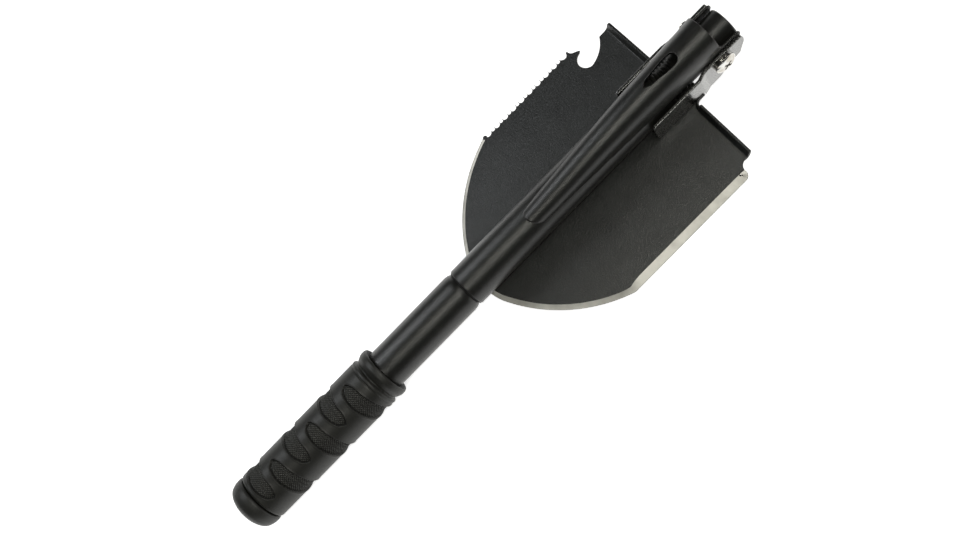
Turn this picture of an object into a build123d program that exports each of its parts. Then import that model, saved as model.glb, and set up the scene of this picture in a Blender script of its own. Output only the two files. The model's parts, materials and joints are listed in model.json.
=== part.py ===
"""Folding camp shovel: blade and pick on one pivot, with a two-piece screwed tube handle.

Frame: +X runs along the handle from the butt to the head, +Z is the pick's side,
the blade lies on the -Z side.  The origin is the centre of the butt's flat face.
The tool is modelled folded, as it is stored.  Lengths are millimetres.
"""
from math import cos, hypot, radians, sin
import os

from build123d import *

os.makedirs("parts", exist_ok=True)

# ---- driving dimensions -------------------------------------------------------------
TUBE_R = 11.0  # outside radius of both handle tubes
BORE_R = 9.3  # their bore, tapped at the ends
THREAD_R = 9.25  # screw threads are drawn as plain cylinders that run in the bore
RUN_GAP = 0.06  # radial clearance of a turning pin

CAP_END_X = 11.6  # end cap, from the butt to the groove that marks it off
TUBE_START_X = 12.2
GRIP_END_X = 102.6
SEAM_X = 160.0  # joint between the lower and the upper tube
SEAM_T = 0.6  # thickness of the seam's rubber washer
UPPER_END_X = 295.4  # head end of the upper tube, backed off as it is when folding
LOCK_RING_T = 1.6
LOCK_TRAVEL = 12.0  # the ring and tube screw this far towards the head to lock it

PIVOT_X = 326.4  # axis of the pivot screw, along Y at Z = 0
BOLT_R = 3.0
POST_END_X = 341.0

BLADE_T = 1.6
BLADE_TOP_Z = -13.4  # handle side of the blade, on its centre line
BLADE_HALF = 58.1
BLADE_CROWN_R = 290.0
BLADE_TIP_X = 164.2
BLADE_REAR_X = 302.7  # where the sheet turns up into the foot step
STEP_HALF = 50.6

BRACKET_T = 1.8
GUTTER_HALF = 13.9  # outside half width of the bracket's gutter
EAR_HALF = 12.75  # outside half width of its ears
EAR_TOP_Z = 5.2

PICK_T = 1.4
PICK_BASE_X = 328.6

CAP_TRAVEL = 8.0
HANDLE_TRAVEL = 12.0


def ring(axis_x, length, outer, inner):
    """A plain ring or tube about the handle's axis, starting at axis_x."""
    with BuildPart() as made:
        with BuildSketch(Plane.YZ.offset(axis_x)):
            Circle(outer)
            if inner:
                Circle(inner, mode=Mode.SUBTRACT)
        extrude(amount=length)
    return made.part


def save(part, name):
    part.label = name
    export_step(part, f"parts/{name}.step")


# ---- end cap and its seal -----------------------------------------------------------
CAP_R = 14.2
CAP_FLAT_R = 4.6
CAP_LIP = CAP_END_X - 1.0
PLUG_END_X = TUBE_START_X + CAP_TRAVEL + 1.0

with BuildPart() as end_cap:
    with BuildSketch(Plane.XZ):
        with BuildLine():
            crown = ThreePointArc((0, CAP_FLAT_R), (0.75, 8.2), (2.2, 11.2))
            corner = ThreePointArc(crown @ 1, (4.1, 13.1), (7.6, CAP_R))
            Polyline(
                corner @ 1,
                (CAP_LIP, CAP_R),
                (CAP_END_X, CAP_R - 0.8),
                (CAP_END_X, THREAD_R),
                (PLUG_END_X, THREAD_R),
                (PLUG_END_X, 0),
                (0, 0),
                crown @ 0,
            )
        make_face()
    revolve(axis=Axis.X)
save(end_cap.part, "end_cap")

SEAL_WIRE_R = (TUBE_START_X - CAP_END_X) / 2
with BuildPart() as cap_seal:
    with BuildSketch(Plane.XZ):
        with Locations((CAP_END_X + SEAL_WIRE_R, (TUBE_R + BORE_R) / 2)):
            RectangleRounded(2 * SEAL_WIRE_R, TUBE_R - BORE_R - 0.1, SEAL_WIRE_R * 0.8)
    revolve(axis=Axis.X)
save(cap_seal.part, "cap_seal")

# ---- rubber grip --------------------------------------------------------------------
GRIP_R = 14.2
GRIP_START_X = CAP_END_X + 0.6
WINDOW_DEPTH = 1.2
WINDOW_PITCH = 26.2
WINDOW_ROWS = ((31.9, 68.0, 1), (20.0, -49.0, -1))  # apex X, middle angle, hand


def window_cutter(apex_x, middle_deg, hand):
    """One leaf-shaped window, cut square to the axis at middle_deg from the top."""
    turn = radians(middle_deg)
    facing = Plane(origin=(apex_x, 0, 0), x_dir=(1, 0, 0), z_dir=(0, -sin(turn), cos(turn)))
    reach = hand * GRIP_R
    with BuildPart() as cutter:
        with BuildSketch(facing):
            with BuildLine():
                bulge = Spline(
                    (0.2, reach),
                    (-4.7, 0.74 * reach),
                    (-3.7, 0.1 * reach),
                    (-0.4, -0.55 * reach),
                    (8.4, -0.99 * reach),
                )
                Polyline(bulge @ 1, (5.4, -0.1 * reach), (1.4, reach), bulge @ 0)
            make_face()
        extrude(amount=2 * GRIP_R)
        add(ring(0, GRIP_END_X, GRIP_R - WINDOW_DEPTH, 0), mode=Mode.SUBTRACT)
    return cutter.part


with BuildPart() as grip_sleeve:
    with BuildSketch(Plane.XZ):
        with BuildLine():
            Polyline(
                (GRIP_START_X, TUBE_R),
                (GRIP_START_X, GRIP_R - 1.0),
                (GRIP_START_X + 0.8, GRIP_R),
                (92.3, GRIP_R),
                (92.7, GRIP_R - 0.6),
                (93.1, GRIP_R),
                (94.6, GRIP_R),
                (95.2, GRIP_R - 1.6),
                (96.3, GRIP_R - 1.6),
                (98.4, GRIP_R - 0.7),
                (100.2, GRIP_R + 0.3),
                (GRIP_END_X, GRIP_R + 0.3),
                (GRIP_END_X, GRIP_R - 0.8),
                (GRIP_END_X - 2.4, TUBE_R + 1.3),
                (GRIP_END_X - 2.4, TUBE_R),
                close=True,
            )
        make_face()
    revolve(axis=Axis.X)
    for first_x, middle, hand in WINDOW_ROWS:
        for count in range(3):
            cutter = window_cutter(first_x + count * WINDOW_PITCH, middle, hand)
            add(cutter, mode=Mode.SUBTRACT)
save(grip_sleeve.part, "grip_sleeve")

# ---- handle tubes -------------------------------------------------------------------
SHOULDER = 2.2
LOWER_END_X = SEAM_X - SEAM_T / 2
UPPER_START_X = SEAM_X + SEAM_T / 2

with BuildPart() as lower_tube:
    with BuildSketch(Plane.XZ):
        with BuildLine():
            shoulder = ThreePointArc(
                (LOWER_END_X - SHOULDER, TUBE_R),
                (LOWER_END_X - 0.7, TUBE_R - 0.35),
                (LOWER_END_X, TUBE_R - 1.0),
            )
            Polyline(
                shoulder @ 1,
                (LOWER_END_X, BORE_R),
                (TUBE_START_X, BORE_R),
                (TUBE_START_X, TUBE_R),
                shoulder @ 0,
            )
        make_face()
    revolve(axis=Axis.X)
save(lower_tube.part, "lower_tube")

with BuildPart() as upper_tube:
    with BuildSketch(Plane.XZ):
        with BuildLine():
            Polyline(
                (UPPER_START_X, BORE_R),
                (UPPER_START_X, TUBE_R - 0.4),
                (UPPER_START_X + 0.4, TUBE_R),
                (UPPER_END_X - 0.6, TUBE_R),
                (UPPER_END_X, TUBE_R - 0.6),
                (UPPER_END_X, BORE_R),
                close=True,
            )
        make_face()
    revolve(axis=Axis.X)
save(upper_tube.part, "upper_tube")

# Screwed stud, pressed into the lower tube and screwed into the upper one.
STUD_SEAT = 18.0
STUD_REACH = HANDLE_TRAVEL + 3.0
with BuildPart() as coupling_stud:
    add(ring(LOWER_END_X - STUD_SEAT, STUD_SEAT, BORE_R, 0))
    add(ring(LOWER_END_X, STUD_REACH, THREAD_R, 0))
    chamfer(coupling_stud.edges().filter_by(GeomType.CIRCLE).sort_by(Axis.X)[-1], 1.0)
save(coupling_stud.part, "coupling_stud")

save(ring(LOWER_END_X, SEAM_T, TUBE_R - 0.35, BORE_R + 0.05), "seam_washer")
save(ring(UPPER_END_X, LOCK_RING_T, TUBE_R, BORE_R), "lock_ring")

# ---- head post ----------------------------------------------------------------------
POST_START_X = UPPER_END_X - 22.0
THREAD_END_X = UPPER_END_X + LOCK_RING_T + LOCK_TRAVEL + 0.4
TANG_R = 9.05
POST_BORE_R = 4.6

with BuildPart() as head_post:
    with BuildSketch(Plane.XZ):
        with BuildLine():
            Polyline(
                (POST_START_X, POST_BORE_R),
                (POST_START_X, THREAD_R - 1.0),
                (POST_START_X + 1.0, THREAD_R),
                (THREAD_END_X, THREAD_R),
                (THREAD_END_X + 0.2, TANG_R),
                (POST_END_X - 0.7, TANG_R),
                (POST_END_X, TANG_R - 0.7),
                (POST_END_X, 0),
                (PIVOT_X - 12.0, 0),
                (PIVOT_X - 12.0 - POST_BORE_R, POST_BORE_R),
                close=True,
            )
        make_face()
    revolve(axis=Axis.X)
    with BuildSketch(Plane.XZ):
        with Locations((PIVOT_X, 0)):
            Circle(BOLT_R + RUN_GAP)
    extrude(amount=2 * TUBE_R, both=True, mode=Mode.SUBTRACT)
save(head_post.part, "head_post")

# ---- pick ---------------------------------------------------------------------------
# Stations of the half-round channel: X, middle Y, outside half width, height of its back.
# The middle runs off to the screw head's side, because the pick rests a little askew.
PICK_STATIONS = (
    (205.6, -2.0, 6.0, 12.75),
    (231.0, -1.8, 7.1, 15.8),
    (256.0, -1.5, 8.0, 18.9),
    (282.0, -1.2, 8.9, 20.9),
    (306.0, -0.8, 9.8, 21.1),
    (PICK_BASE_X, 0.0, 10.7, 20.6),
)
PICK_TIP_X, PICK_TIP_Y = PICK_STATIONS[0][:2]
SLOT_Y = -1.0
PICK_EAR_IN = 9.3
PICK_EAR_END_X = 341.2
EAR_BACK_X = PIVOT_X - 11.8
EAR_ROOT_Z = 10.5  # the ears run up into the channel's straight walls as far as this
POST_SWEEP_R = hypot(POST_END_X - PIVOT_X, TANG_R) + 0.2
REST_GAP = 0.3  # the pick lies this far off the tube when it is folded


def channel_body(wall):
    """The channel's outside shape, or with a wall its inside, as a closed solid."""
    with BuildPart() as body:
        for x, middle, half, back in PICK_STATIONS:
            half_here = half - wall
            spring = back - half
            with BuildSketch(Plane(origin=(x, middle, 0), x_dir=(0, 1, 0), z_dir=(1, 0, 0))):
                with BuildLine():
                    arch = ThreePointArc(
                        (-half_here, spring), (0, spring + half_here), (half_here, spring)
                    )
                    Polyline(arch @ 1, (half_here, -2), (-half_here, -2), arch @ 0)
                make_face()
        loft()
    return body.part


with BuildPart() as pick_ears:
    with BuildSketch(Plane.XZ):
        with BuildLine():
            nose = ThreePointArc(
                (PICK_EAR_END_X - 1.6, 6.3), (PICK_EAR_END_X, 4.6), (PICK_EAR_END_X - 0.4, 2.4)
            )
            heel = ThreePointArc(
                (PICK_EAR_END_X - 2.2, -3.0), (PIVOT_X + 8.2, -7.6), (PIVOT_X + 2.0, -9.2)
            )
            Polyline(nose @ 1, heel @ 0)
            toe = ThreePointArc(
                (PIVOT_X - 5.0, -9.2), (PIVOT_X - 9.6, -7.2), (PIVOT_X - 11.2, -2.0)
            )
            Polyline(heel @ 1, toe @ 0)
            Polyline(
                toe @ 1,
                (EAR_BACK_X, 7.0),
                (EAR_BACK_X, EAR_ROOT_Z),
                (PICK_BASE_X - 0.1, EAR_ROOT_Z),
                (PICK_BASE_X + 1.8, 7.2),
                nose @ 0,
            )
        make_face()
    extrude(amount=PICK_EAR_IN + PICK_T, both=True)
    with BuildSketch(Plane.XZ):
        with Locations((PIVOT_X, 0)):
            Rectangle(60, 60)
    extrude(amount=PICK_EAR_IN, both=True, mode=Mode.SUBTRACT)

with BuildPart() as post_sweep:
    with Locations((PIVOT_X, 0, 0)):
        Sphere(POST_SWEEP_R)
        Box(60, 2 * PICK_EAR_IN, 60, mode=Mode.INTERSECT)

with BuildPart() as pick:
    add(channel_body(0))
    # rounded tip, seen from above
    with BuildSketch(Plane.XY.shift_origin((0, PICK_TIP_Y, 0))):
        with BuildLine():
            tip = ThreePointArc((PICK_TIP_X + 5.6, 6.1), (PICK_TIP_X, 0), (PICK_TIP_X + 5.6, -6.1))
            Polyline(
                tip @ 1,
                (PICK_TIP_X + 12, -20),
                (PICK_BASE_X, -20),
                (PICK_BASE_X, 20),
                (PICK_TIP_X + 12, 20),
                tip @ 0,
            )
        make_face()
    extrude(amount=40, mode=Mode.INTERSECT)
    add(channel_body(PICK_T), mode=Mode.SUBTRACT)
    # under side: clear of the tube as far as it screws forward, then level
    add(
        ring(150, UPPER_END_X + LOCK_TRAVEL + 4 - 150, TUBE_R + REST_GAP, 0),
        mode=Mode.SUBTRACT,
    )
    with BuildSketch(Plane.XZ):
        with BuildLine():
            Polyline(
                (150, -5), (150, 4.5), (EAR_BACK_X, 4.5), (EAR_BACK_X, 9.0), (360, 9.0), (360, -5),
                close=True,
            )
        make_face()
    extrude(amount=20, both=True, mode=Mode.SUBTRACT)
    # the post's end swings through this ball as the pick turns
    add(post_sweep.part, mode=Mode.SUBTRACT)
    add(pick_ears.part)
    # keyhole slot for drawing nails, wide at the head end
    with BuildSketch(Plane.XY.shift_origin((0, SLOT_Y, 0)).offset(13)):
        with BuildLine():
            head = ThreePointArc((308.0, 3.05), (310.8, 0), (308.0, -3.05))
            Polyline(
                head @ 1,
                (303.0, -3.05),
                (292.0, -1.75),
                (289.4, 0.0),
                (292.0, 1.75),
                (303.0, 3.05),
                head @ 0,
            )
        make_face()
    extrude(amount=20, mode=Mode.SUBTRACT)
    with BuildSketch(Plane.XZ):
        with Locations((PIVOT_X, 0)):
            Circle(BOLT_R + RUN_GAP)
    extrude(amount=20, both=True, mode=Mode.SUBTRACT)
save(pick.part, "pick")

# ---- blade bracket ------------------------------------------------------------------
WEB_TOP_Z = BLADE_TOP_Z + BRACKET_T
WEB_START_X = 279.3
WEB_END_X = PIVOT_X - 15.6  # keeps the web clear of the post's end as the blade turns
FLARE_X = (311.4, 315.4)
GUTTER_RIM_Z = 4.2
EAR_GAP = EAR_HALF - BRACKET_T  # inside half width of the ears
RIVET_R = 2.0
RIVETS = [(x, y) for x in (285.0, 301.0) for y in (-7.0, 7.0)]

with BuildPart() as blade_bracket:
    # side outline of the gutter walls and ears, cut from a block later hollowed out
    with BuildSketch(Plane.XZ):
        with BuildLine():
            rise = Line((WEB_START_X, BLADE_TOP_Z), (WEB_START_X, GUTTER_RIM_Z - 1.5))
            front = ThreePointArc(
                rise @ 1,
                (WEB_START_X + 0.45, GUTTER_RIM_Z - 0.45),
                (WEB_START_X + 1.5, GUTTER_RIM_Z),
            )
            Polyline(
                front @ 1,
                (FLARE_X[0], GUTTER_RIM_Z),
                (FLARE_X[1], EAR_TOP_Z),
                (PIVOT_X + 13.4, EAR_TOP_Z),
            )
            far = ThreePointArc(
                (PIVOT_X + 13.4, EAR_TOP_Z),
                (PIVOT_X + 14.2, 3.2),
                (PIVOT_X + 12.9, -4.5),
            )
            Polyline(
                far @ 1,
                (PIVOT_X + 10.4, -10.0),
                (PIVOT_X + 3.5, -10.8),
                (PIVOT_X - 4.0, BLADE_TOP_Z - BLADE_T + 0.2),
                (WEB_END_X, BLADE_TOP_Z - BLADE_T + 0.2),
                (WEB_END_X, BLADE_TOP_Z),
                rise @ 0,
            )
        make_face()
    extrude(amount=GUTTER_HALF, both=True)
    # outside plan: full width over the gutter, then in to the ears
    with BuildSketch(Plane.XY.offset(-20)):
        with BuildLine():
            Polyline(
                (WEB_START_X - 5, -GUTTER_HALF),
                (FLARE_X[0], -GUTTER_HALF),
                (FLARE_X[1], -EAR_HALF),
                (350, -EAR_HALF),
                (350, EAR_HALF),
                (FLARE_X[1], EAR_HALF),
                (FLARE_X[0], GUTTER_HALF),
                (WEB_START_X - 5, GUTTER_HALF),
                close=True,
            )
        make_face()
    extrude(amount=40, mode=Mode.INTERSECT)
    # bend radius where the web turns up into the walls
    gutter_edges = [
        edge
        for edge in blade_bracket.edges().filter_by(Axis.X)
        if abs(edge.center().Z - BLADE_TOP_Z) < 0.1 and edge.length > 20
    ]
    fillet(gutter_edges, 2.4)
    # inside: the gutter's trough and the gap between the ears
    with BuildSketch(Plane.XY.offset(WEB_TOP_Z)):
        with BuildLine():
            inner = GUTTER_HALF - BRACKET_T
            Polyline(
                (WEB_START_X - 5, -inner),
                (FLARE_X[0] - 0.5, -inner),
                (FLARE_X[1] - 0.5, -EAR_GAP),
                (350, -EAR_GAP),
                (350, EAR_GAP),
                (FLARE_X[1] - 0.5, EAR_GAP),
                (FLARE_X[0] - 0.5, inner),
                (WEB_START_X - 5, inner),
                close=True,
            )
        make_face()
    extrude(amount=40, mode=Mode.SUBTRACT)
    # nothing but the two ears beyond the web
    with BuildSketch(Plane.XY.offset(-20)):
        with BuildLine():
            Polyline(
                (WEB_END_X, -EAR_GAP),
                (350, -EAR_GAP),
                (350, EAR_GAP),
                (WEB_END_X, EAR_GAP),
                close=True,
            )
        make_face()
    extrude(amount=40, mode=Mode.SUBTRACT)
    # running hole in the near ear, tapped hole in the far one
    with BuildSketch(Plane.XZ):
        with Locations((PIVOT_X, 0)):
            Circle(BOLT_R)
    extrude(amount=20, both=True, mode=Mode.SUBTRACT)
    with BuildSketch(Plane.XY.offset(-20)):
        with Locations(*RIVETS):
            Circle(RIVET_R)
    extrude(amount=15, mode=Mode.SUBTRACT)
save(blade_bracket.part, "blade_bracket")

# ---- blade --------------------------------------------------------------------------
CREASE_Y = 14.0  # the rear half is folded along two lines this far from the middle
STEP_ANGLE = radians(61)
STEP_RUN = 4.0  # width of the turned-up foot step
STEP_IN = 17.0  # the step stops this far from the middle, beside the neck
NECK_HALF = 13.1


def crown_drop(y, creased):
    """How far the blade's handle side lies below its middle, y from the middle."""
    if not creased:
        return y * y / (2 * BLADE_CROWN_R)
    past = max(abs(y) - CREASE_Y, 0)
    return past * 0.085 + past * past / 960


def blade_section(x, creased):
    """The bent sheet's cross-section at x, wider than the blade."""
    reach = BLADE_HALF + 4
    halfway = (reach + CREASE_Y) / 2

    def level(y, down):
        return (y, BLADE_TOP_Z - crown_drop(y, creased) - down)

    with BuildSketch(Plane.YZ.offset(x)) as section:
        with BuildLine():
            for down in (0.0, BLADE_T):
                for side in (-1, 1):
                    ThreePointArc(
                        level(side * reach, down),
                        level(side * halfway, down),
                        level(side * CREASE_Y, down),
                    )
                if creased:
                    Line(level(-CREASE_Y, down), level(CREASE_Y, down))
                else:
                    ThreePointArc(level(-CREASE_Y, down), level(0, down), level(CREASE_Y, down))
            Line(level(-reach, 0), level(-reach, BLADE_T))
            Line(level(reach, 0), level(reach, BLADE_T))
        make_face()
    return section.sketch


SAW_START_X = 223.9  # first tooth
SAW_PAIRS = 9
SAW_PITCH = 6.02
SAW_PAIR_GAP = 2.33
SAW_ROOT_Y = 56.6
SAW_TIP_Y = 58.4


def saw_scallops():
    """The gullets between the saw's pointed teeth, which stand in close pairs."""
    tips = [
        SAW_START_X + pair * SAW_PITCH + tooth * SAW_PAIR_GAP
        for pair in range(SAW_PAIRS)
        for tooth in range(2)
    ]
    for left, right in zip(tips, tips[1:]):
        depth = min(0.5 * (right - left), SAW_TIP_Y - SAW_ROOT_Y)
        ThreePointArc(
            (left, SAW_TIP_Y), ((left + right) / 2, SAW_TIP_Y - depth), (right, SAW_TIP_Y)
        )
    return (tips[0], SAW_TIP_Y), (tips[-1], SAW_TIP_Y)


with BuildSketch() as blade_plan:
    with BuildLine():
        first_tip, last_tip = saw_scallops()
        tip = ThreePointArc((167.4, -13.2), (BLADE_TIP_X, 0), (167.4, 13.2))
        saw_side = ThreePointArc(tip @ 1, (182.0, 34.2), (218.6, 58.9))
        ThreePointArc(saw_side @ 1, (220.6, 56.9), first_tip)
        runout = ThreePointArc(last_tip, (275.6, SAW_ROOT_Y), (277.6, 56.3))
        horn = Spline(runout @ 1, (278.9, 57.8), (279.9, 58.3), (280.8, 56.6), (282.1, 54.9))
        Polyline(horn @ 1, (283.6, 54.2), (285.2, 53.0), (283.8, 52.2))
        bite = ThreePointArc((283.8, 52.2), (279.2, 47.0), (283.6, 41.6))
        ramp = ThreePointArc(bite @ 1, (291.6, 44.8), (296.9, STEP_HALF))
        rear = Polyline(ramp @ 1, (BLADE_REAR_X, STEP_HALF), (BLADE_REAR_X, STEP_IN))
        neck = ThreePointArc(rear @ 1, (303.6, 14.2), (306.8, NECK_HALF))
        Polyline(
            neck @ 1, (WEB_END_X, NECK_HALF), (WEB_END_X, -NECK_HALF), (306.8, -NECK_HALF)
        )
        ThreePointArc((306.8, -NECK_HALF), (303.6, -14.2), (BLADE_REAR_X, -STEP_IN))
        Polyline((BLADE_REAR_X, -STEP_IN), (BLADE_REAR_X, -STEP_HALF), (299.6, -STEP_HALF))
        notch = ThreePointArc((299.6, -STEP_HALF), (297.7, -51.4), (296.8, -53.4))
        corner = ThreePointArc(
            (296.8, -BLADE_HALF + 1.6), (296.3, -BLADE_HALF + 0.5), (295.2, -BLADE_HALF)
        )
        Line(notch @ 1, corner @ 0)
        Line(corner @ 1, (214.2, -BLADE_HALF))
        ThreePointArc((214.2, -BLADE_HALF), (182.0, -34.2), tip @ 0)
    make_face()


def step_section(y):
    """The foot step's cross-section at y: sheet turned up from the blade's rear edge."""
    along = (cos(STEP_ANGLE), sin(STEP_ANGLE))
    across = (sin(STEP_ANGLE), -cos(STEP_ANGLE))
    bend = (BLADE_REAR_X - 0.8, BLADE_TOP_Z - crown_drop(y, True))

    def corner(run, depth):
        return (
            bend[0] + run * along[0] + depth * across[0],
            bend[1] + run * along[1] + depth * across[1],
        )

    facing = Plane(origin=(0, y, 0), x_dir=(1, 0, 0), z_dir=(0, -1, 0))
    with BuildSketch(facing) as section:
        with BuildLine():
            Polyline(
                corner(-0.6, 0),
                corner(STEP_RUN, 0),
                corner(STEP_RUN, BLADE_T),
                corner(-0.7, BLADE_T),
                close=True,
            )
        make_face()
    return section.sketch


with BuildPart() as blade:
    loft(
        [
            blade_section(150, False),
            blade_section(225, False),
            blade_section(WEB_START_X, True),
            blade_section(320, True),
        ],
        ruled=True,
    )
    with BuildSketch(Plane.XY.offset(-40)):
        add(blade_plan.sketch)
    extrude(amount=60, mode=Mode.INTERSECT)
    for side in (-1, 1):
        loft([step_section(side * y) for y in (STEP_IN, 28.0, 39.0, STEP_HALF)])
    with BuildSketch(Plane.XY.offset(-20)):
        with Locations(*RIVETS):
            Circle(RIVET_R)
    extrude(amount=15, mode=Mode.SUBTRACT)
save(blade.part, "blade")

# ---- rivets that hold the blade to its bracket --------------------------------------
RIVET_HEAD_R = 3.6
WEB_BACK_Z = BLADE_TOP_Z - BLADE_T

with BuildPart() as bracket_rivets:
    for x, y in RIVETS:
        with BuildSketch(Plane(origin=(x, y, 0), x_dir=(1, 0, 0), z_dir=(0, -1, 0))):
            with BuildLine():
                dome = ThreePointArc(
                    (0, WEB_BACK_Z - 1.7), (2.2, WEB_BACK_Z - 1.2), (RIVET_HEAD_R, WEB_BACK_Z)
                )
                Polyline(dome @ 1, (RIVET_R, WEB_BACK_Z), (RIVET_R, WEB_TOP_Z), (0, WEB_TOP_Z))
                Line((0, WEB_TOP_Z), dome @ 0)
            make_face()
        revolve(axis=Axis((x, y, 0), (0, 0, 1)))
save(bracket_rivets.part, "bracket_rivets")

# ---- pivot screw --------------------------------------------------------------------
WASHER_T = 1.5
HEAD_SEAT_Y = EAR_HALF + WASHER_T
HEAD_R = 6.1
HEAD_H = 2.3
SCREW_END_Y = 15.3

with BuildPart() as pivot_screw:
    with BuildSketch(Plane.XY):
        with BuildLine():
            dome = ThreePointArc(
                (PIVOT_X + HEAD_R, -HEAD_SEAT_Y - 0.8),
                (PIVOT_X + 4.6, -HEAD_SEAT_Y - 1.9),
                (PIVOT_X + 2.0, -HEAD_SEAT_Y - HEAD_H),
            )
            Polyline(
                dome @ 1,
                (PIVOT_X, -HEAD_SEAT_Y - HEAD_H),
                (PIVOT_X, SCREW_END_Y),
                (PIVOT_X + BOLT_R - 0.7, SCREW_END_Y),
                (PIVOT_X + BOLT_R, SCREW_END_Y - 0.7),
                (PIVOT_X + BOLT_R, -HEAD_SEAT_Y),
                (PIVOT_X + HEAD_R, -HEAD_SEAT_Y),
                dome @ 0,
            )
        make_face()
    revolve(axis=Axis((PIVOT_X, 0, 0), (0, 1, 0)))
    # cross recess
    for turn in (38, 128):
        with BuildSketch(Plane.XZ.offset(HEAD_SEAT_Y + HEAD_H + 1)):
            with Locations((PIVOT_X, 0)):
                Rectangle(5.6, 1.3, rotation=turn)
        extrude(amount=-2.6, mode=Mode.SUBTRACT)
save(pivot_screw.part, "pivot_screw")

with BuildPart() as spring_washer:
    with BuildSketch(Plane.XZ.offset(EAR_HALF)):
        with Locations((PIVOT_X, 0)):
            Circle(5.9)
            Circle(BOLT_R + 0.1, mode=Mode.SUBTRACT)
        with Locations((PIVOT_X + 4.4, -0.6)):
            Rectangle(5, 0.8, rotation=14, mode=Mode.SUBTRACT)
    extrude(amount=WASHER_T)
save(spring_washer.part, "spring_washer")
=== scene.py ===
"""Looks of the folding camp shovel: detailed meshes, materials, light and camera."""
import json
import math

import bpy
import numpy as np
from mathutils import Matrix, Vector
from mathutils.geometry import delaunay_2d_cdt

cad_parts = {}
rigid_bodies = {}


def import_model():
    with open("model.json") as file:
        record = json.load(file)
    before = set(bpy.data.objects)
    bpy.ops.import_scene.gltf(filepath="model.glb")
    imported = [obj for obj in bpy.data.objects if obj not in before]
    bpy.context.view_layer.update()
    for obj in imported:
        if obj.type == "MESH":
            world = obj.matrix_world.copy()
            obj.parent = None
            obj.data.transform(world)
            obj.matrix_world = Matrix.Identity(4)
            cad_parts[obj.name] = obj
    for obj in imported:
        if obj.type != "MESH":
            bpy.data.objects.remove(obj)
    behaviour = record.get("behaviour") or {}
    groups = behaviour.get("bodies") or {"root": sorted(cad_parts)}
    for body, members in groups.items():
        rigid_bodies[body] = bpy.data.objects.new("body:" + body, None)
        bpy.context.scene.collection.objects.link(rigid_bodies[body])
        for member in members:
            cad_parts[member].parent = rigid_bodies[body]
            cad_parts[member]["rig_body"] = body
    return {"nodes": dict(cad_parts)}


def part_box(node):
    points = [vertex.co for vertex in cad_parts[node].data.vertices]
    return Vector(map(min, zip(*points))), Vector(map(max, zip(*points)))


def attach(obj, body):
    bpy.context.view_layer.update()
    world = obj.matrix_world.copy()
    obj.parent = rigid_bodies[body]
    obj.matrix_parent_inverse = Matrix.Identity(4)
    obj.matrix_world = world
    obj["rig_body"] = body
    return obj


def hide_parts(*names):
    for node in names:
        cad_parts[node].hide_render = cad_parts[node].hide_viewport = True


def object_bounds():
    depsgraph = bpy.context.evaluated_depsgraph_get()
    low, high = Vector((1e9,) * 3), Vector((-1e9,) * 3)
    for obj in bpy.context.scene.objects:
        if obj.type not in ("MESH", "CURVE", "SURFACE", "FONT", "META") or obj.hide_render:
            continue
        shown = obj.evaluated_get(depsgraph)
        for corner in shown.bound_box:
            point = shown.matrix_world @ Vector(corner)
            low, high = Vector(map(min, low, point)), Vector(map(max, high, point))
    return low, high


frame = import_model()
cad_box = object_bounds()
NODES = frame["nodes"]
MM = 0.001

# ---- materials ------------------------------------------------------------------------


def new_material(name):
    material = bpy.data.materials.new(name)
    material.use_nodes = True
    tree = material.node_tree
    return material, tree, tree.nodes["Principled BSDF"]


def noise(tree, scale, detail=3.0, rough=0.5, stretch=(1, 1, 1), distortion=0.0):
    """Noise in the object's own coordinates; scale is in cycles per metre."""
    coords = tree.nodes.new("ShaderNodeTexCoord")
    mapping = tree.nodes.new("ShaderNodeMapping")
    mapping.inputs["Scale"].default_value = stretch
    texture = tree.nodes.new("ShaderNodeTexNoise")
    texture.inputs["Scale"].default_value = scale
    texture.inputs["Detail"].default_value = detail
    texture.inputs["Roughness"].default_value = rough
    texture.inputs["Distortion"].default_value = distortion
    tree.links.new(coords.outputs["Object"], mapping.inputs["Vector"])
    tree.links.new(mapping.outputs["Vector"], texture.inputs["Vector"])
    return texture.outputs["Fac"]


def ramp(tree, fac, low, high, start=0.3, end=0.7):
    """Maps fac from start..end to the two colours or numbers low..high."""
    node = tree.nodes.new("ShaderNodeValToRGB")
    node.color_ramp.elements[0].position = start
    node.color_ramp.elements[1].position = end
    for element, value in zip(node.color_ramp.elements, (low, high)):
        element.color = (*value, 1) if hasattr(value, "__len__") else (value, value, value, 1)
    tree.links.new(fac, node.inputs["Fac"])
    return node.outputs["Color"]


def add_bump(tree, shader, heights, distance):
    """Bump from a list of (height output, strength), laid one over another."""
    normal = None
    for height, strength in heights:
        bump = tree.nodes.new("ShaderNodeBump")
        bump.inputs["Strength"].default_value = strength
        bump.inputs["Distance"].default_value = distance
        tree.links.new(height, bump.inputs["Height"])
        if normal is not None:
            tree.links.new(normal, bump.inputs["Normal"])
        normal = bump.outputs["Normal"]
    tree.links.new(normal, shader.inputs["Normal"])


def powder_coat(name, dark, light, rough, peel, peel_mm, fine=0.25):
    """Black powder coat: orange peel of peel_mm, strength peel, over a fine grain."""
    material, tree, shader = new_material(name)
    cloud = noise(tree, 90, 4, 0.6)
    tree.links.new(ramp(tree, cloud, dark, light), shader.inputs["Base Color"])
    speck = noise(tree, 1500, 2, 0.5)
    tree.links.new(ramp(tree, speck, rough[0], rough[1], 0.42, 0.58), shader.inputs["Roughness"])
    peel_height = noise(tree, 1000 / peel_mm, 2.5, 0.55, distortion=0.4)
    grain_height = noise(tree, 4200, 1, 0.5)
    add_bump(tree, shader, [(peel_height, peel), (grain_height, fine)], 0.0003)
    shader.inputs["Specular IOR Level"].default_value = 0.5
    return material


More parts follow.
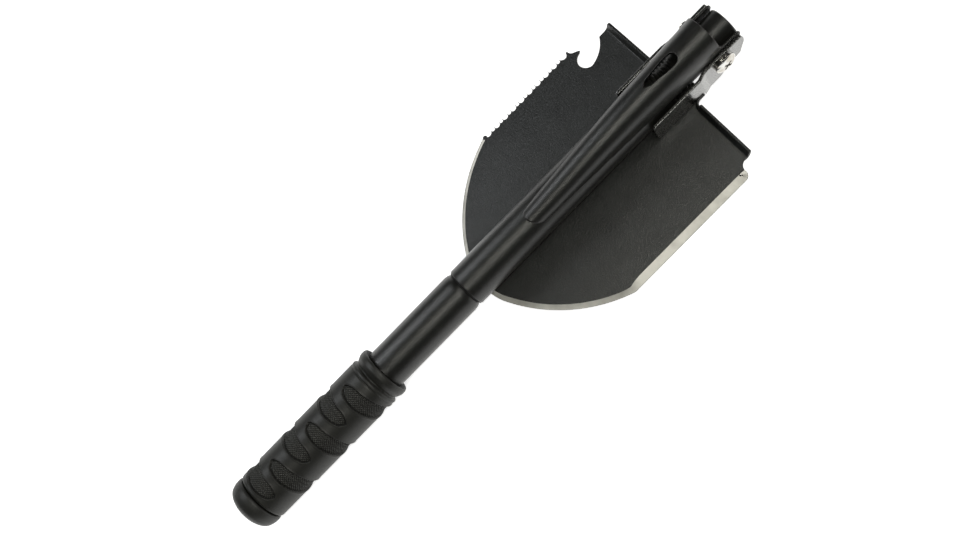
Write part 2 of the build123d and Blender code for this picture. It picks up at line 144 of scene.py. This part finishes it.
def plated(name, light, dark, rough=0.16):
    """Bright zinc plate with a faint yellow passivation tint."""
    material, tree, shader = new_material(name)
    tint = noise(tree, 330, 2, 0.5)
    tree.links.new(ramp(tree, tint, dark, light, 0.4, 0.62), shader.inputs["Base Color"])
    shader.inputs["Metallic"].default_value = 1.0
    smear = noise(tree, 1500, 3, 0.6)
    tree.links.new(ramp(tree, smear, rough, rough + 0.16), shader.inputs["Roughness"])
    add_bump(tree, shader, [(smear, 0.12)], 0.0001)
    return material


def ground_steel(name):
    """Bare ground edge with grinding lines across it and dull patches along it."""
    material, tree, shader = new_material(name)
    patch = noise(tree, 60, 3, 0.6)
    tree.links.new(
        ramp(tree, patch, (0.56, 0.545, 0.50), (0.80, 0.785, 0.73), 0.35, 0.6),
        shader.inputs["Base Color"],
    )
    shader.inputs["Metallic"].default_value = 0.7
    lines = noise(tree, 900, 3, 0.7, stretch=(2.4, 0.25, 0.25))
    tree.links.new(ramp(tree, lines, 0.34, 0.52), shader.inputs["Roughness"])
    add_bump(tree, shader, [(lines, 0.35)], 0.00012)
    return material


def rubber(name, dark, light, rough, grain):
    material, tree, shader = new_material(name)
    cloud = noise(tree, 140, 4, 0.6)
    tree.links.new(ramp(tree, cloud, dark, light), shader.inputs["Base Color"])
    pores = noise(tree, 3000, 3, 0.6)
    tree.links.new(ramp(tree, pores, rough[0], rough[1]), shader.inputs["Roughness"])
    add_bump(tree, shader, [(pores, grain)], 0.0001)
    shader.inputs["Specular IOR Level"].default_value = 0.42
    return material


SATIN = powder_coat(
    "satin_black", (0.006, 0.006, 0.0055), (0.011, 0.011, 0.0095), (0.30, 0.35), 0.05, 0.62
)
BLADE_COAT = powder_coat(
    "blade_black", (0.005, 0.0055, 0.005), (0.012, 0.013, 0.0125), (0.32, 0.50), 0.40, 0.9
)
BRACKET = powder_coat(
    "bracket_black", (0.008, 0.008, 0.007), (0.013, 0.013, 0.011), (0.25, 0.30), 0.04, 0.62
)
bracket_shader = BRACKET.node_tree.nodes["Principled BSDF"]
bracket_shader.inputs["Coat Weight"].default_value = 1.0
bracket_shader.inputs["Coat Roughness"].default_value = 0.12
bracket_shader.inputs["Specular IOR Level"].default_value = 0.8
STEEL = ground_steel("ground_edge")
ZINC = plated("zinc_plate", (0.66, 0.655, 0.64), (0.50, 0.47, 0.42), 0.12)
GRIP = rubber("grip_rubber", (0.009, 0.009, 0.0075), (0.015, 0.015, 0.0125), (0.42, 0.54), 0.3)
# The grip rubber made lighter for the knurl tops: a painted highlight.
KNURL_PAINTED_HIGHLIGHT = rubber("grip_knurl_painted_highlight", (0.030, 0.030, 0.026), (0.042, 0.042, 0.036), (0.30, 0.40), 0.2)
# The grip rubber made darker for the faces deep in the window grooves: painted shade.
GROOVE_PAINTED_SHADE = rubber("grip_groove_painted_shade", (0.003, 0.003, 0.0025), (0.005, 0.005, 0.004), (0.8, 0.9), 0.2)
CAP = rubber("cap_plastic", (0.014, 0.014, 0.0125), (0.02, 0.02, 0.018), (0.45, 0.56), 0.25)
SEAL = rubber("seal_rubber", (0.008, 0.008, 0.008), (0.012, 0.012, 0.012), (0.6, 0.75), 0.2)

# ---- mesh helpers ---------------------------------------------------------------------


def piece(verts_mm, faces, node, slot, materials, sharp_deg=35, marks=None):
    """A finished piece from points in mm, standing for a CAD node and riding on its body.
    marks gives each face's place in materials."""
    mesh = bpy.data.meshes.new(node + "_skin")
    mesh.from_pydata([Vector(v) * MM for v in verts_mm], [], faces)
    mesh.validate()
    for material in materials:
        mesh.materials.append(material)
    if marks is not None:
        mesh.polygons.foreach_set("material_index", marks)
    mesh.shade_smooth()
    mesh.set_sharp_from_angle(angle=math.radians(sharp_deg))
    mesh.update()
    return stand_in(mesh, node)


def stand_in(mesh, node):
    """Puts a finished mesh in the scene in the place of a CAD node."""
    obj = bpy.data.objects.new(node + "_skin", mesh)
    bpy.context.scene.collection.objects.link(obj)
    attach(obj, NODES[node]["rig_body"])
    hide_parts(node)
    return obj


def rounded(points, radius, steps=3):
    """The closed polygon with each corner rounded by up to radius."""
    out = []
    count = len(points)
    for i in range(count):
        before, here, after = (np.array(points[(i + k) % count], float) for k in (-1, 0, 1))
        to_before, to_after = before - here, after - here
        reach = min(radius, 0.45 * np.linalg.norm(to_before), 0.45 * np.linalg.norm(to_after))
        start = here + to_before / np.linalg.norm(to_before) * reach
        end = here + to_after / np.linalg.norm(to_after) * reach
        for t in np.linspace(0, 1, steps + 1):
            out.append((1 - t) ** 2 * start + 2 * t * (1 - t) * here + t * t * end)
    return out


def turned(rows, psi):
    """Points and faces of a closed ring of (x, radius) rows turned through the angles psi.
    A radius may be one number or one for each angle."""
    around = len(psi)
    verts, faces = [], []
    for x, r in rows:
        r = np.broadcast_to(r, around)
        verts += list(zip(np.full(around, x), -r * np.sin(psi), r * np.cos(psi)))
    for i in range(len(rows)):
        j = (i + 1) % len(rows)
        for k in range(around):
            m = (k + 1) % around
            faces.append((i * around + k, j * around + k, j * around + m, i * around + m))
    return verts, faces


def lathe(outline, node, slot, material, radius=0.25, sharp_deg=40):
    """Turns a closed (x, r) outline about the handle's axis."""
    psi = np.linspace(0, 2 * math.pi, 160, endpoint=False)
    verts, faces = turned(rounded(outline, radius), psi)
    return piece(verts, faces, node, slot, [material], sharp_deg)


def span(node):
    """A CAD node's lowest and highest x, in mm."""
    low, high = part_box(node)
    return low.x / MM, high.x / MM


# ---- plain turned pieces --------------------------------------------------------------
TUBE_R = 11.0
BORE_R = 9.3
GRIP_R = 14.2

start, end = span("lower_tube")
lathe(
    [(start + 0.1, BORE_R), (start + 0.1, TUBE_R - 0.05), (end - 4.1, TUBE_R),
     (end - 2.1, TUBE_R - 0.25), (end - 0.8, TUBE_R - 0.8), (end - 0.02, BORE_R + 0.3),
     (end - 0.02, BORE_R)],
    "lower_tube", "black_steel", SATIN, radius=0.7,
)
start, end = span("upper_tube")
lathe(
    [(start + 0.02, BORE_R), (start + 0.02, TUBE_R - 0.2), (start + 0.4, TUBE_R),
     (end - 0.6, TUBE_R), (end - 0.02, TUBE_R - 0.6), (end - 0.02, BORE_R)],
    "upper_tube", "black_steel", SATIN, radius=0.3,
)


def washer(node, slot, material, inner, outer, gap, radius):
    """A plain ring as long as its CAD node, less gap at each end."""
    start, end = span(node)
    outline = [(start + gap, inner), (start + gap, outer), (end - gap, outer), (end - gap, inner)]
    lathe(outline, node, slot, material, radius)


washer("lock_ring", "black_steel", SATIN, BORE_R, TUBE_R - 0.1, 0.05, 0.2)
washer("seam_washer", "seal_rubber", SEAL, 9.4, 10.5, 0.02, 0.15)
washer("cap_seal", "seal_rubber", SEAL, 9.4, 10.9, 0.02, 0.15)

# ---- end cap and rubber grip ------------------------------------------------------------
# A shallow dome with a small flat, a rim to the seal, and the plug behind it.
lathe(
    [(0.0, 0.02), (0.02, 4.4), (0.75, 8.2), (2.3, 11.2), (4.2, 13.1), (7.4, 14.1), (10.6, 14.15),
     (11.55, 13.4), (11.58, 9.2), (21.1, 9.2), (21.1, 0.02)],
    "end_cap", "cap_plastic", CAP, radius=1.1, sharp_deg=50,
)


def smooth(xs, ys):
    """A smooth curve through the points, as a function of x."""
    xs, ys = np.array(xs, float), np.array(ys, float)
    slopes = np.gradient(ys, xs)

    def curve(x):
        i = np.clip(np.searchsorted(xs, x) - 1, 0, len(xs) - 2)
        gap = xs[i + 1] - xs[i]
        t = np.clip((x - xs[i]) / gap, 0, 1)
        return (
            (2 * t**3 - 3 * t**2 + 1) * ys[i]
            + (t**3 - 2 * t**2 + t) * gap * slopes[i]
            + (3 * t**2 - 2 * t**3) * ys[i + 1]
            + (t**3 - t**2) * gap * slopes[i + 1]
        )

    return curve


# One window's two sides: X from its apex in mm, against degrees round the grip from its apex.
WINDOW_TURN = 176
BUTT_SIDE = smooth(
    [0, 5, 20, 43, 85, 103, 140, 165, WINDOW_TURN], [0, -2.0, -4.0, -4.9, -3.8, -2.9, 0.9, 5.0, 8.2]
)
HEAD_SIDE = smooth(
    [0, 3, 11, 45, 75, 100, 140, 165, WINDOW_TURN], [0, 0.9, 2.0, 3.3, 4.7, 5.6, 7.4, 8.4, 8.4]
)
# Each window's apex: X, angle and the way it runs round the grip.
WINDOWS = [(31.9 + 26.2 * k, -22.0, 1) for k in range(3)]
WINDOWS += [(20.0 + 25.7 * k, 40.5, -1) for k in range(3)]
WINDOW_ZONE = (14.0, 92.2)
OUTSIDE = -9.0
# Face marks of the grip: plain rubber, groove faces with painted shade, knurl tops with a painted
# highlight.
PLAIN, SHADED_GROOVES, LIT_TOPS = range(3)
RECESS = 1.35
KNURL_PITCH = 1.3
KNURL_H = 0.5


def grip_relief(x, psi):
    """How far the grip's face lies below its plain profile, and whether it is plain, a groove
    with painted shade or a knurl's top with a painted highlight, for arrays of x and of degrees
    round the grip."""
    inside = np.full(x.shape, OUTSIDE)
    for apex_x, apex_psi, hand in WINDOWS:
        along = (hand * (psi - apex_psi) + 180) % 360 - 180
        along = np.where(along < -90, along + 360, along)
        rel = x - apex_x
        margin = np.minimum(rel - BUTT_SIDE(along), HEAD_SIDE(along) - rel)
        margin = np.where((along < 0) | (along > WINDOW_TURN), OUTSIDE, margin)
        inside = np.maximum(inside, margin)
    wall = np.clip((inside + 0.08) / 0.3, 0, 1)
    wall = wall * wall * (3 - 2 * wall)
    turns = round(2 * math.pi * (GRIP_R - 1.1) / KNURL_PITCH / 1.15)
    across = psi / 360 * turns
    a = np.abs(((x / KNURL_PITCH + across) % 1) * 2 - 1)
    b = np.abs(((x / KNURL_PITCH - across) % 1) * 2 - 1)
    knurl = KNURL_H * np.minimum(1.6 * np.minimum(a, b), 1) * np.clip((inside - 0.35) / 0.4, 0, 1)
    lip = 0.16 * np.exp(-((inside + 0.4) / 0.25) ** 2)
    kind = np.full(x.shape, PLAIN)
    # Faces down in the grooves get the darker rubber, painted shade.
    kind[(wall > 0.3) & (knurl < 0.45 * KNURL_H)] = SHADED_GROOVES
    # Knurl tops get the lighter rubber, a painted highlight.
    kind[knurl > 0.8 * KNURL_H] = LIT_TOPS
    return wall * RECESS - knurl * wall - lip, kind


def grip_mesh():
    """The grip with a rim, a plain body, two ribs and a rolled flange, and its windows."""
    outer = rounded_line(
        [(12.25, 12.9), (12.7, 14.0), (13.6, 14.2), (92.35, 14.2), (92.7, 13.7), (93.05, 14.2),
         (94.5, 14.3), (95.25, 13.4), (95.5, 12.75), (96.2, 12.75), (96.5, 13.25), (98.0, 13.9),
         (98.6, 14.2), (99.4, 14.45), (101.6, 14.45), (102.45, 14.0)], 0.28)
    inner = [(102.58, 13.7), (102.45, 13.4), (101.4, 12.8), (100.4, 12.25), (100.2, 11.9),
             (100.2, 11.03), (12.25, 11.03), (12.25, 12.0)]
    around = 330
    psi = np.linspace(-180, 180, around, endpoint=False)
    rows, kinds = [], []
    for x, r in outer:
        relief, kind = np.zeros(around), np.full(around, PLAIN)
        if WINDOW_ZONE[0] < x < WINDOW_ZONE[1]:
            relief, kind = grip_relief(np.full(around, x), psi)
        rows.append((x, r - relief))
        kinds.append(kind)
    kinds += [np.full(around, PLAIN)] * len(inner)
    verts, faces = turned(rows + inner, np.radians(psi))
    return verts, faces, np.concatenate(kinds).tolist()


def rounded_line(points, step):
    """The open polyline as evenly spaced points, its corners softened a little."""
    points = np.array(points, float)
    run = np.concatenate([[0], np.cumsum(np.hypot(*np.diff(points, axis=0).T))])
    s = np.linspace(0, run[-1], int(run[-1] / step))
    line = np.stack([np.interp(s, run, points[:, k]) for k in (0, 1)], 1)
    for _ in range(2):
        line[1:-1] = 0.25 * line[:-2] + 0.5 * line[1:-1] + 0.25 * line[2:]
    return line


verts, faces, marks = grip_mesh()
# The grip in three tones of one rubber: plain, darker in the grooves as painted shade, lighter on
# the knurl tops as a painted highlight.
piece(verts, faces, "grip_sleeve", "grip_rubber", [GRIP, GROOVE_PAINTED_SHADE, KNURL_PAINTED_HIGHLIGHT], 80, marks)

# ---- head post with its thread ----------------------------------------------------------


POST_R = 9.03
THREAD_PITCH = 2.0
THREAD_END_X = 309.0


def post_mesh():
    """The head post, with a thread that runs out before its plain, rounded end."""
    psi = np.linspace(0, 2 * math.pi, 128, endpoint=False)
    start, end = span("head_post")
    start += 0.1
    rows = []
    for x in np.arange(start, THREAD_END_X, 0.2):
        phase = (x / THREAD_PITCH - psi / (2 * math.pi)) % 1
        tooth = np.clip(1.25 - 2.5 * np.abs(phase - 0.5), 0, 1)
        fade = min(1, (THREAD_END_X - x) / 2.5)
        rows.append((x, 9.22 - 0.75 * (1 - tooth) * fade))
    rows += [(THREAD_END_X + 0.2, 9.05), (THREAD_END_X + 0.6, POST_R)]
    for back, inset in ((1.1, 0), (0.65, 0.08), (0.3, 0.33), (0.07, 0.73), (0.02, 1.13)):
        rows.append((end - back, POST_R - inset))
    rows += [(end - 0.02, 0.02), (start, 0.02)]
    return turned(rows, psi)


piece(*post_mesh(), "head_post", "black_steel", [SATIN], sharp_deg=40)

# ---- pieces softened from their CAD solids ----------------------------------------------


def softened(node, material, voxel_mm, passes):
    """A CAD solid remeshed finely, laid back on its own surface, then its edges rounded."""
    work = bpy.data.objects.new("work", NODES[node].data.copy())
    bpy.context.scene.collection.objects.link(work)
    remesh = work.modifiers.new("remesh", "REMESH")
    remesh.mode = "VOXEL"
    remesh.voxel_size = voxel_mm * MM
    even = work.modifiers.new("even", "SMOOTH")
    even.iterations = 6
    settle = work.modifiers.new("settle", "SHRINKWRAP")
    settle.target = NODES[node]
    soft = work.modifiers.new("soft", "SMOOTH")
    soft.iterations = passes
    evaluated = work.evaluated_get(bpy.context.evaluated_depsgraph_get())
    mesh = bpy.data.meshes.new_from_object(evaluated)
    bpy.data.objects.remove(work)
    mesh.materials.clear()
    mesh.materials.append(material)
    mesh.shade_smooth()
    return stand_in(mesh, node)


softened("pick", SATIN, 0.25, 7)
softened("blade_bracket", BRACKET, 0.25, 6)
softened("bracket_rivets", SATIN, 0.2, 4)
softened("pivot_screw", ZINC, 0.1, 3)
softened("spring_washer", ZINC, 0.12, 3)
softened("coupling_stud", ZINC, 0.4, 2)

# ---- blade ------------------------------------------------------------------------------
TOP_Z = -13.4
SHEET = 1.6
REAR_X = 302.6
STEP_IN, STEP_HALF = 17.0, 50.55
NECK_HALF, NECK_END_X = 13.1, 310.75
SHARP_Y = 57.75
SAW_TIP_Y, SAW_START_X = 58.4, 223.85
SAW_PITCH, SAW_GAP = 6.02, 2.33
# Between these two the sheet changes from crowned to creased, flat between the creases.
CROWN_X, CREASE_X = 225.0, 279.3
CREASE_Y = 14.0


def drop(x, y):
    """How far the handle side lies below its middle line: crowned, then creased."""
    past = np.maximum(np.abs(y) - CREASE_Y, 0)
    creased = past * 0.085 + past * past / 960
    crowned = y * y / 580
    t = np.clip((x - CROWN_X) / (CREASE_X - CROWN_X), 0, 1)
    return crowned + (creased - crowned) * t


def arc(a, b, c, step=0.9):
    """Points from a to c on the circle through b, without the last."""
    (ax, ay), (bx, by), (cx, cy) = a, b, c
    d = 2 * (ax * (by - cy) + bx * (cy - ay) + cx * (ay - by))
    aa, bb, cc = ax**2 + ay**2, bx**2 + by**2, cx**2 + cy**2
    ux = (aa * (by - cy) + bb * (cy - ay) + cc * (ay - by)) / d
    uy = (aa * (cx - bx) + bb * (ax - cx) + cc * (bx - ax)) / d
    r = math.hypot(ax - ux, ay - uy)
    t0, t1, t2 = (math.atan2(p[1] - uy, p[0] - ux) for p in (a, b, c))
    turn = (t2 - t0) % (2 * math.pi)
    if (t1 - t0) % (2 * math.pi) > turn:
        turn -= 2 * math.pi
    count = max(3, int(abs(turn) * r / step))
    return [(ux + r * math.cos(t0 + turn * k / count), uy + r * math.sin(t0 + turn * k / count))
            for k in range(count)]


def straight(a, b, step=1.2):
    """Points from a to b, without the last."""
    count = max(1, int(math.dist(a, b) / step))
    return [(a[0] + (b[0] - a[0]) * k / count, a[1] + (b[1] - a[1]) * k / count)
            for k in range(count)]


def blade_outline():
    """Points round the blade, the width of the edge inward of each, and where it is ground."""
    parts = []

    def go(points, ground, edge=0.45):
        parts.extend((p, ground, edge) for p in points)

    go(arc((165.0, 0), (165.6, 6.7), (167.4, 13.2)), 2.3)
    go(arc((167.4, 13.2), (187.2, 40.0), (218.3, 58.8)), 2.0)
    go(arc((218.3, 58.8), (219.6, 58.9), (220.0, 57.0), 0.4), 0)
    go(arc((220.0, 57.0), (221.6, 56.35), (SAW_START_X, SAW_TIP_Y), 0.4), 0, 0.2)
    tips = [
        SAW_START_X + SAW_PITCH * pair + SAW_GAP * tooth for pair in range(9) for tooth in range(2)
    ]
    for left, right in zip(tips, tips[1:]):
        root = (0.5 * (left + right), SAW_TIP_Y - min(0.72 * (right - left), 2.1))
        go(arc((left, SAW_TIP_Y), root, (right, SAW_TIP_Y), 0.3), 0, 0.14)
    go(arc((tips[-1], SAW_TIP_Y), (275.8, 56.5), (277.6, 56.1), 0.35), 0, 0.2)
    go(arc((277.6, 56.1), (278.7, 57.0), (279.2, 58.1), 0.4), 0, 0.25)
    go(arc((279.2, 58.1), (279.8, 58.4), (280.3, 58.0), 0.3), 0, 0.25)
    go(arc((280.3, 58.0), (280.6, 56.4), (281.7, 55.2), 0.4), 0, 0.25)
    go(straight((281.7, 55.2), (283.6, 54.2)), 0, 0.25)
    go(straight((283.6, 54.2), (285.1, 53.1)), 0, 0.25)
    go(straight((285.1, 53.1), (283.8, 52.2)), 0, 0.25)
    go(arc((283.8, 52.2), (279.2, 47.0), (283.6, 41.6), 0.5), 0)
    go(arc((283.6, 41.6), (291.6, 44.8), (296.8, STEP_HALF), 0.7), 0)
    go(straight((296.8, STEP_HALF), (REAR_X, STEP_HALF)), 0)
    go(straight((REAR_X, STEP_HALF), (REAR_X, STEP_IN)), 0, 0.1)
    go(arc((REAR_X, STEP_IN), (303.6, 14.2), (306.8, NECK_HALF), 0.5), 0)
    go(straight((306.8, NECK_HALF), (NECK_END_X, NECK_HALF)), 0)
    go(straight((NECK_END_X, NECK_HALF), (NECK_END_X, -NECK_HALF)), 0)
    go(straight((NECK_END_X, -NECK_HALF), (306.8, -NECK_HALF)), 0)
    go(arc((306.8, -NECK_HALF), (303.6, -14.2), (REAR_X, -STEP_IN), 0.5), 0)
    go(straight((REAR_X, -STEP_IN), (REAR_X, -STEP_HALF)), 0, 0.1)
    go(straight((REAR_X, -STEP_HALF), (299.8, -50.5)), 0)
    go(arc((299.8, -50.5), (297.9, -51.5), (296.8, -53.6), 0.4), 0)
    go(arc((296.8, -53.6), (296.2, -56.6), (293.4, -SHARP_Y), 0.5), 4.0)
    go(straight((293.4, -SHARP_Y), (217.4, -SHARP_Y)), 4.1)
    go(arc((217.4, -SHARP_Y), (186.6, -39.6), (167.4, -13.2)), 2.6)
    go(arc((167.4, -13.2), (165.6, -6.7), (165.0, 0)), 2.4)
    points = np.array([p for p, _, _ in parts])
    ground = np.array([w for _, w, _ in parts], float)
    edge = np.array([e for _, _, e in parts], float)
    is_ground = ground > 0
    width = np.where(is_ground, ground, edge)
    for _ in range(14):
        near = (np.roll(width, 1) + width + np.roll(width, -1)) / 3
        both = is_ground & np.roll(is_ground, 1) & np.roll(is_ground, -1)
        width = np.where(both, near, width)
    return points, width, is_ground


def blade_mesh():
    """The blade's sheet: both faces, its rim and the ground edge, whose faces get mark 1."""
    points, width, is_ground = blade_outline()
    count = len(points)
    forward = np.roll(points, -1, 0) - points
    forward /= np.linalg.norm(forward, axis=1)[:, None]
    inward = np.stack([forward[:, 1], -forward[:, 0]], 1)
    normal = inward + np.roll(inward, 1, 0)
    normal /= np.maximum(np.linalg.norm(normal, axis=1)[:, None], 0.6)
    verts, faces, marks = [], [], []

    def ring(offset, lowered):
        at = points + normal * offset[:, None]
        first = len(verts)
        z = TOP_Z - drop(at[:, 0], at[:, 1]) - lowered
        verts.extend((x, y, h) for (x, y), h in zip(at, z))
        return first, at

    zero = np.zeros(count)
    land = np.where(is_ground, 1.15, 0.35)
    rings = [
        ring(width, zero),
        ring(np.where(is_ground, 0.12, width * 0.3), np.where(is_ground, land * 0.97, 0.1)),
        ring(zero, land),
        ring(zero, np.full(count, SHEET - 0.3)),
        ring(np.full(count, 0.1), np.full(count, SHEET - 0.08)),
        ring(np.minimum(width, 0.4), np.full(count, SHEET)),
    ]
    for (a, _), (b, _) in zip(rings, rings[1:]):
        for k in range(count):
            m = (k + 1) % count
            faces.append((a + k, b + k, b + m, a + m))
            marks.append(1 if is_ground[k] and is_ground[m] and a == rings[0][0] else 0)
    for (first, at), lowered, flip in ((rings[0], 0.0, False), (rings[-1], SHEET, True)):
        grid = [
            Vector((x, y)) for x in np.arange(166, 311, 2.5) for y in np.arange(-57.5, 58, 2.5)
        ]
        flat = [Vector(p) for p in at]
        loop = [(k, (k + 1) % count) for k in range(count)]
        found, _, tris, origins, _, _ = delaunay_2d_cdt(flat + grid, loop, [], 1, 1e-4)
        names = {}
        for k, (p, origin) in enumerate(zip(found, origins)):
            own = [o for o in origin if o < count]
            if own:
                names[k] = first + own[0]
        for tri in tris:
            corners = []
            for k in tri:
                if k not in names:
                    x, y = found[k]
                    names[k] = len(verts)
                    verts.append((x, y, TOP_Z - float(drop(x, y)) - lowered))
                corners.append(names[k])
            faces.append(tuple(reversed(corners)) if flip else tuple(corners))
            marks.append(0)
    return verts, faces, marks


def step_mesh(side):
    """The turned-up foot step on one side, bent out of the sheet with a round inner bend."""
    lean = math.radians(66)
    run, bend_r = 3.6, 1.1
    centre = (301.5, TOP_Z + bend_r)
    line = [(300.6, TOP_Z + 0.01)]
    for t in np.linspace(0, lean, 7):
        line.append((centre[0] + bend_r * math.sin(t), centre[1] - bend_r * math.cos(t)))
    line.append((line[-1][0] + run * math.cos(lean), line[-1][1] + run * math.sin(lean)))
    outer = []
    for t in np.linspace(0, lean, 9):
        far = bend_r + SHEET
        outer.append((centre[0] + far * math.sin(t), centre[1] - far * math.cos(t)))
    outer.append((outer[-1][0] + run * math.cos(lean), outer[-1][1] + run * math.sin(lean)))
    profile = rounded(line + outer[::-1] + [(300.6, TOP_Z - SHEET - 0.01)], 0.5, 3)
    ys = [STEP_IN, STEP_IN + 0.15, STEP_IN + 0.4, *np.arange(18.5, 50, 2.0), 50.2, 50.45, 50.6]
    verts, faces = [], []
    mid = np.mean(np.array(line + outer), 0)
    for i, y in enumerate(ys):
        inset = (0.088, 0.024, 0.0)[min(i, len(ys) - 1 - i, 2)]
        for x, z in profile:
            x += (mid[0] - x) * inset
            z += (mid[1] - z) * inset
            verts.append((x, side * y, z - float(drop(302.0, y))))
    return verts, swept_faces(len(ys), len(profile), side > 0)


def swept_faces(sections, around, forward):
    """Faces of a solid swept through equal sections, its two ends closed. Without forward they
    are wound the other way."""
    faces = []
    for i in range(sections - 1):
        for k in range(around):
            m = (k + 1) % around
            near, far = i * around, (i + 1) * around
            faces.append((near + k, near + m, far + m, far + k))
    faces.append(tuple(reversed(range(around))))
    faces.append(tuple(range((sections - 1) * around, sections * around)))
    return faces if forward else [face[::-1] for face in faces]


def neck_mesh(side):
    """The step's lip as it runs on round the neck and dies out beside the bracket."""
    path = arc((302.3, 17.6), (303.7, 14.4), (307.0, 13.0), 0.5)
    path += straight((307.0, 13.0), (310.6, 12.9), 0.6)
    verts = []
    for k, (x, y) in enumerate(path):
        (x0, y0), (x1, y1) = path[max(k - 1, 0)], path[min(k + 1, len(path) - 1)]
        size = math.hypot(x1 - x0, y1 - y0)
        out = ((y0 - y1) / size, (x1 - x0) / size)
        tall = 4.4 - 2.2 * k / (len(path) - 1)
        base = TOP_Z - float(drop(x, y))
        section = (
            (-0.5, -1.2), (-0.1, 0.4), (0.5, tall - 0.5), (0.7, tall - 0.1), (1.0, tall),
            (1.5, tall - 0.1), (1.8, tall - 0.5), (1.4, 0.2), (0.9, -1.2),
        )
        for across, up in section:
            verts.append((x + out[0] * across, side * (y + out[1] * across), base + up))
    return verts, swept_faces(len(path), len(section), side < 0)


verts, faces, marks = blade_mesh()
for more, more_faces in [maker(side) for side in (1, -1) for maker in (step_mesh, neck_mesh)]:
    base = len(verts)
    verts += more
    faces += [tuple(base + k for k in face) for face in more_faces]
    marks += [0] * len(more_faces)
piece(verts, faces, "blade", "blade_coat", [BLADE_COAT, STEEL], 28, marks)

# ---- floor, light and camera ----------------------------------------------------------
FLOOR_HALF, FLOOR_GAP = 4.0, 0.0002
floor_mesh = bpy.data.meshes.new("floor")
floor_mesh.from_pydata(
    [(x * FLOOR_HALF, y * FLOOR_HALF, 0) for x, y in ((-1, -1), (1, -1), (1, 1), (-1, 1))],
    [], [(0, 1, 2, 3)],
)
floor = bpy.data.objects.new("floor", floor_mesh)
floor.location = (0.2, 0, cad_box[0][2] - FLOOR_GAP)
bpy.context.scene.collection.objects.link(floor)
floor_material, _, floor_shader = new_material("floor_white")
floor_shader.inputs["Base Color"].default_value = (0.92, 0.92, 0.92, 1)
floor_shader.inputs["Roughness"].default_value = 0.9
floor_shader.inputs["Emission Color"].default_value = (1.0, 1.0, 1.0, 1)
floor_shader.inputs["Emission Strength"].default_value = 0.78
floor_shader.inputs["Specular IOR Level"].default_value = 0.1
floor_mesh.materials.append(floor_material)

world = bpy.data.worlds.new("studio")
bpy.context.scene.world = world
world.use_nodes = True
world.node_tree.nodes["Background"].inputs["Color"].default_value = (0.95, 0.98, 1.0, 1)
world.node_tree.nodes["Background"].inputs["Strength"].default_value = 0.03

TARGET = Vector((0.1727, -0.0048, 0.0))


def softbox(name, azimuth, elevation, distance, size, energy, color):
    """A rectangular soft light aimed at the target; azimuth 0 is towards -Y."""
    a, e = math.radians(azimuth), math.radians(elevation)
    back = Vector((math.sin(a) * math.cos(e), -math.cos(a) * math.cos(e), math.sin(e)))
    data = bpy.data.lights.new(name, "AREA")
    data.shape = "RECTANGLE"
    data.size, data.size_y = size
    data.energy = energy
    data.color = color
    light = bpy.data.objects.new(name, data)
    light.location = TARGET + back * distance
    light.rotation_euler = back.to_track_quat("Z", "Y").to_euler()
    bpy.context.scene.collection.objects.link(light)


softbox("key", 14, 72, 1.4, (1.0, 0.12), 8.0, (1.0, 0.99, 0.90))
softbox("head_side", 84, 44, 1.5, (0.4, 0.4), 3.5, (1.0, 0.99, 0.95))
softbox("saw_side", 206, 48, 1.5, (0.6, 0.4), 7.5, (0.95, 0.98, 1.0))

# The camera fitted to the photo: its place, the way back from its picture and the way right.
CAMERA_AT = (0.23095, -0.23638, 0.63853)
BACK = (0.085417, -0.340770, 0.936258)
RIGHT = (0.693218, -0.654630, -0.301510)
ROLL, ROLL_TOWARDS = 0.00457, (0.715648, 0.674786, 0.180311)
camera_data = bpy.data.cameras.new("camera")
camera_data.sensor_width = 36.0
camera_data.lens = 50.8
camera_data.clip_start = 0.01
camera = bpy.data.objects.new("camera", camera_data)
back = Vector(BACK)
right = Vector(RIGHT) + ROLL * Vector(ROLL_TOWARDS)
right = (right - right.dot(back) * back).normalized()
up = back.cross(right)
rotation = Matrix((right, up, back)).transposed()
camera.matrix_world = Matrix.Translation(CAMERA_AT) @ rotation.to_4x4()
bpy.context.scene.collection.objects.link(camera)
bpy.context.scene.camera = camera
bpy.context.scene.view_settings.view_transform = "Standard"

bpy.context.view_layer.update()
